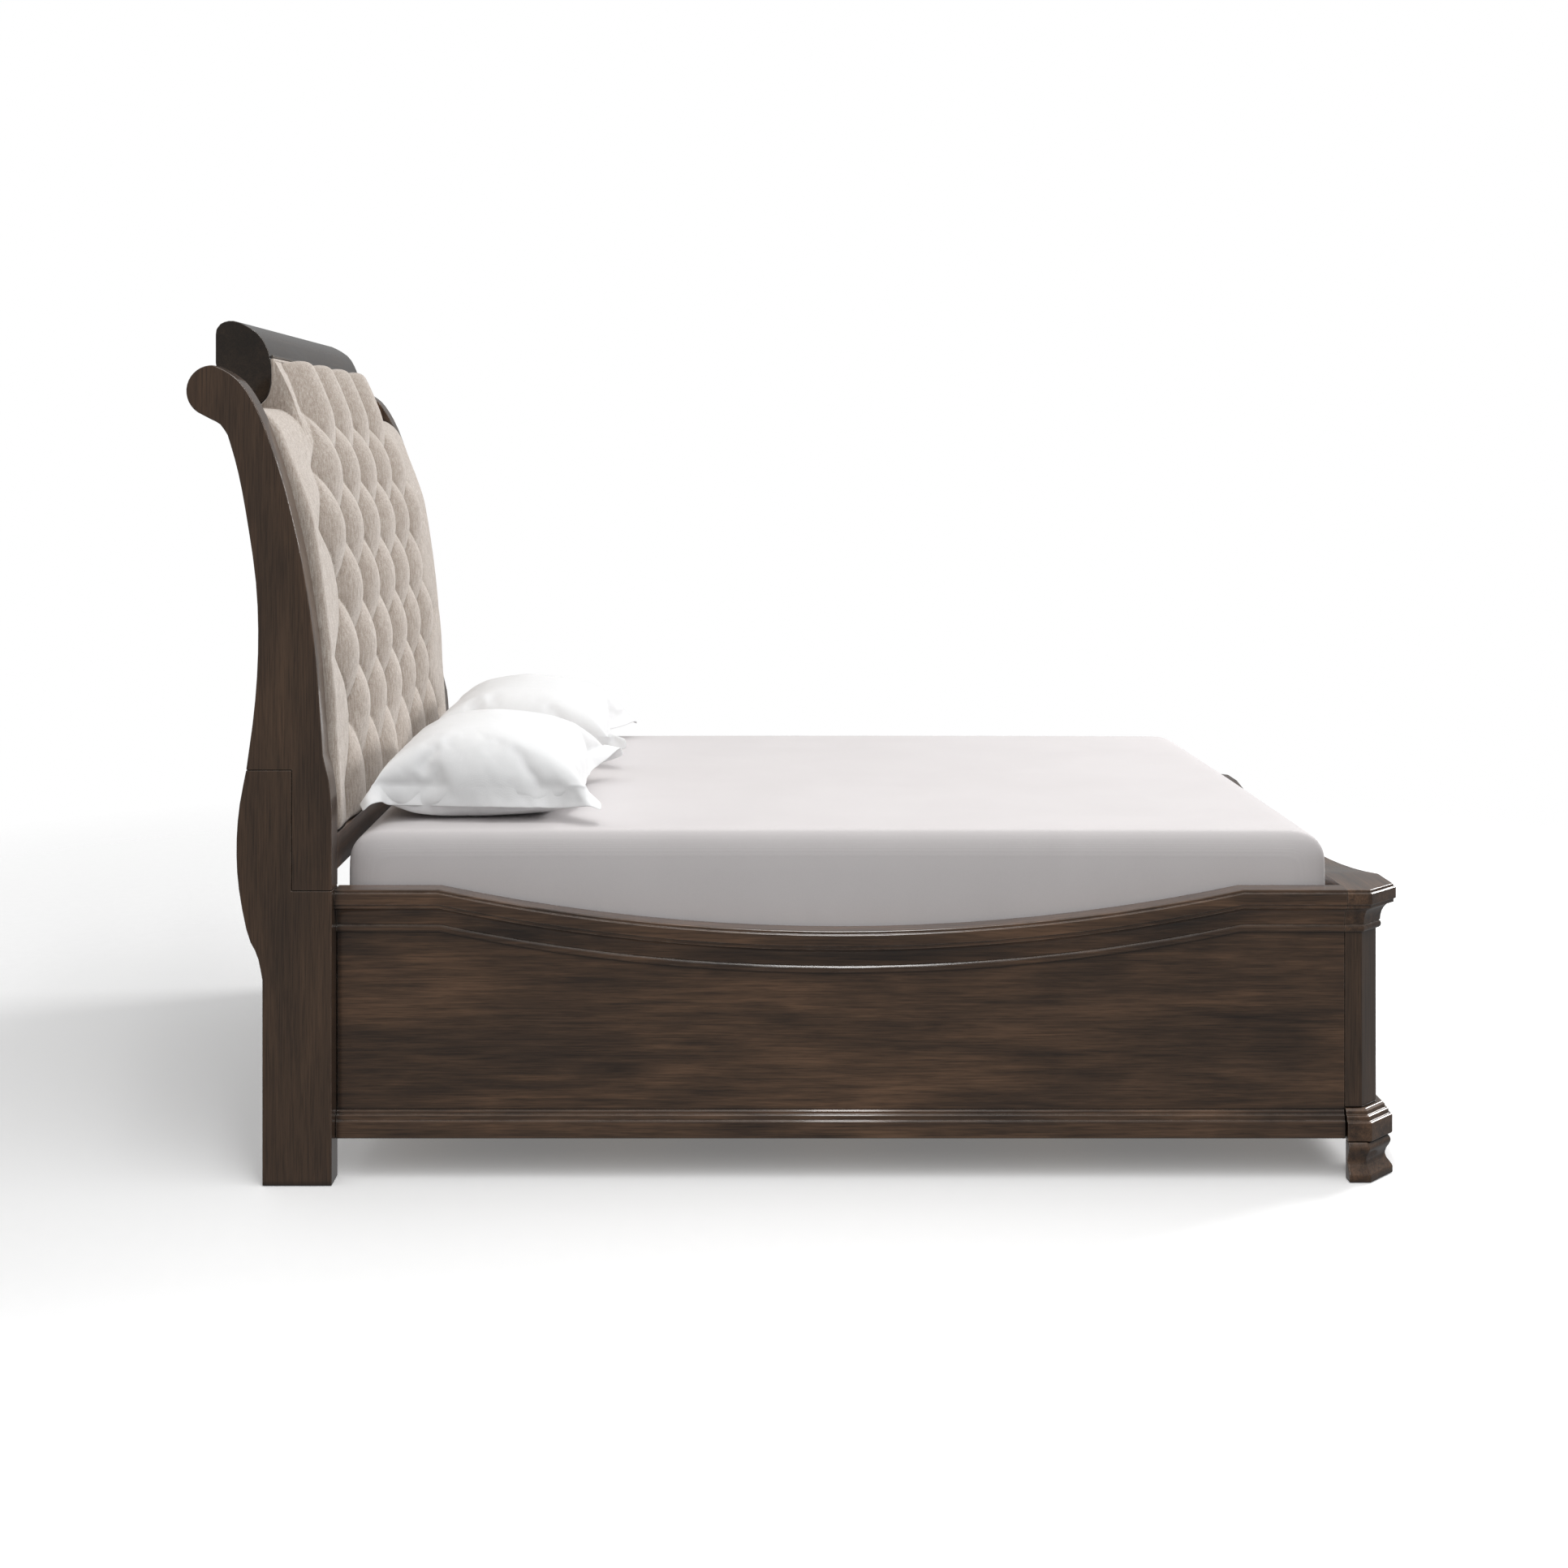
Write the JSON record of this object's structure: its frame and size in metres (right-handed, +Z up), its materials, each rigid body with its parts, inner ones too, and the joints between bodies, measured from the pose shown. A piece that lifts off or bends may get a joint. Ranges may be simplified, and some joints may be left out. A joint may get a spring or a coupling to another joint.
{
  "type": "sleigh bed",
  "caption": "Sleigh bed: scrolled posts and a diamond-tufted headboard, side rails with a dipped moulded cap, a low moulded footboard on ogee feet, and a mattress with pillows.",
  "frame": {"origin": "on the floor, under the middle of the bed's overall length and width", "axes": "+X across the bed, +Y from the footboard towards the headboard, +Z up"},
  "size_m": [1.69, 2.536, 1.7982],
  "materials": {
    "dark_wood": "satin dark espresso stain",
    "plain_wood": "unfinished softwood",
    "steel": "zinc-plated",
    "rubber": "matte",
    "linen": "beige-grey linen weave",
    "ticking": "woven ticking",
    "sheet": "light grey cotton sheet",
    "pillowcase": "white cotton"
  },
  "bodies": {
    "frame": {"bolt_foot_left": "steel", "bolt_foot_right": "steel", "bolt_head_left": "steel", "bolt_head_right": "steel", "bracket_foot_left": "steel", "bracket_foot_right": "steel", "bracket_head_left": "steel", "bracket_head_right": "steel", "crown_bead": "dark_wood", "crown_rail": "dark_wood", "foot_post_left": "dark_wood", "foot_post_right": "dark_wood", "footboard_base": "dark_wood", "footboard_cap": "dark_wood", "footboard_cove": "dark_wood", "footboard_panel": "dark_wood", "headboard_back_panel": "dark_wood", "headboard_leg_left": "dark_wood", "headboard_leg_right": "dark_wood", "headboard_lower_rail": "dark_wood", "headboard_pad": "linen", "headboard_post_left": "dark_wood", "headboard_post_right": "dark_wood", "headboard_rear_rail": "dark_wood", "headboard_rib_1": "plain_wood", "headboard_rib_2": "plain_wood", "headboard_rib_3": "plain_wood", "headboard_rib_4": "plain_wood", "headboard_stretcher": "dark_wood", "headboard_top_rail": "dark_wood", "ogee_foot_left": "dark_wood", "ogee_foot_right": "dark_wood", "rail_base_left": "dark_wood", "rail_base_right": "dark_wood", "rail_board_left": "dark_wood", "rail_board_right": "dark_wood", "rail_cap_left": "dark_wood", "rail_cap_right": "dark_wood", "rail_cove_left": "dark_wood", "rail_cove_right": "dark_wood", "slat_1": "plain_wood", "slat_2": "plain_wood", "slat_3": "plain_wood", "slat_4": "plain_wood", "slat_5": "plain_wood", "slat_cleat_left": "plain_wood", "slat_cleat_right": "plain_wood", "support_leg_1": "plain_wood", "support_leg_2": "plain_wood", "support_leg_3": "plain_wood", "support_pad_1": "rubber", "support_pad_2": "rubber", "support_pad_3": "rubber", "upholstery_board": "plain_wood"},
    "box_spring": {"box_spring": "ticking"},
    "mattress": {"mattress": "sheet"},
    "pillow_left": {"pillow_left": "pillowcase"},
    "pillow_right": {"pillow_right": "pillowcase"}
  },
  "joints": [
    {"name": "box_spring_lift", "type": "slide", "parent": "frame", "child": "box_spring", "axis": [0, 0, 1], "range_m": [0, 0.42]},
    {"name": "mattress_lift", "type": "slide", "parent": "box_spring", "child": "mattress", "axis": [0, 0, 1], "range_m": [0, 0.2]},
    {"name": "pillow_left_lift", "type": "slide", "parent": "mattress", "child": "pillow_left", "axis": [0, 0, 1], "range_m": [0, 0.25]},
    {"name": "pillow_right_lift", "type": "slide", "parent": "mattress", "child": "pillow_right", "axis": [0, 0, 1], "range_m": [0, 0.25]}
  ]
}
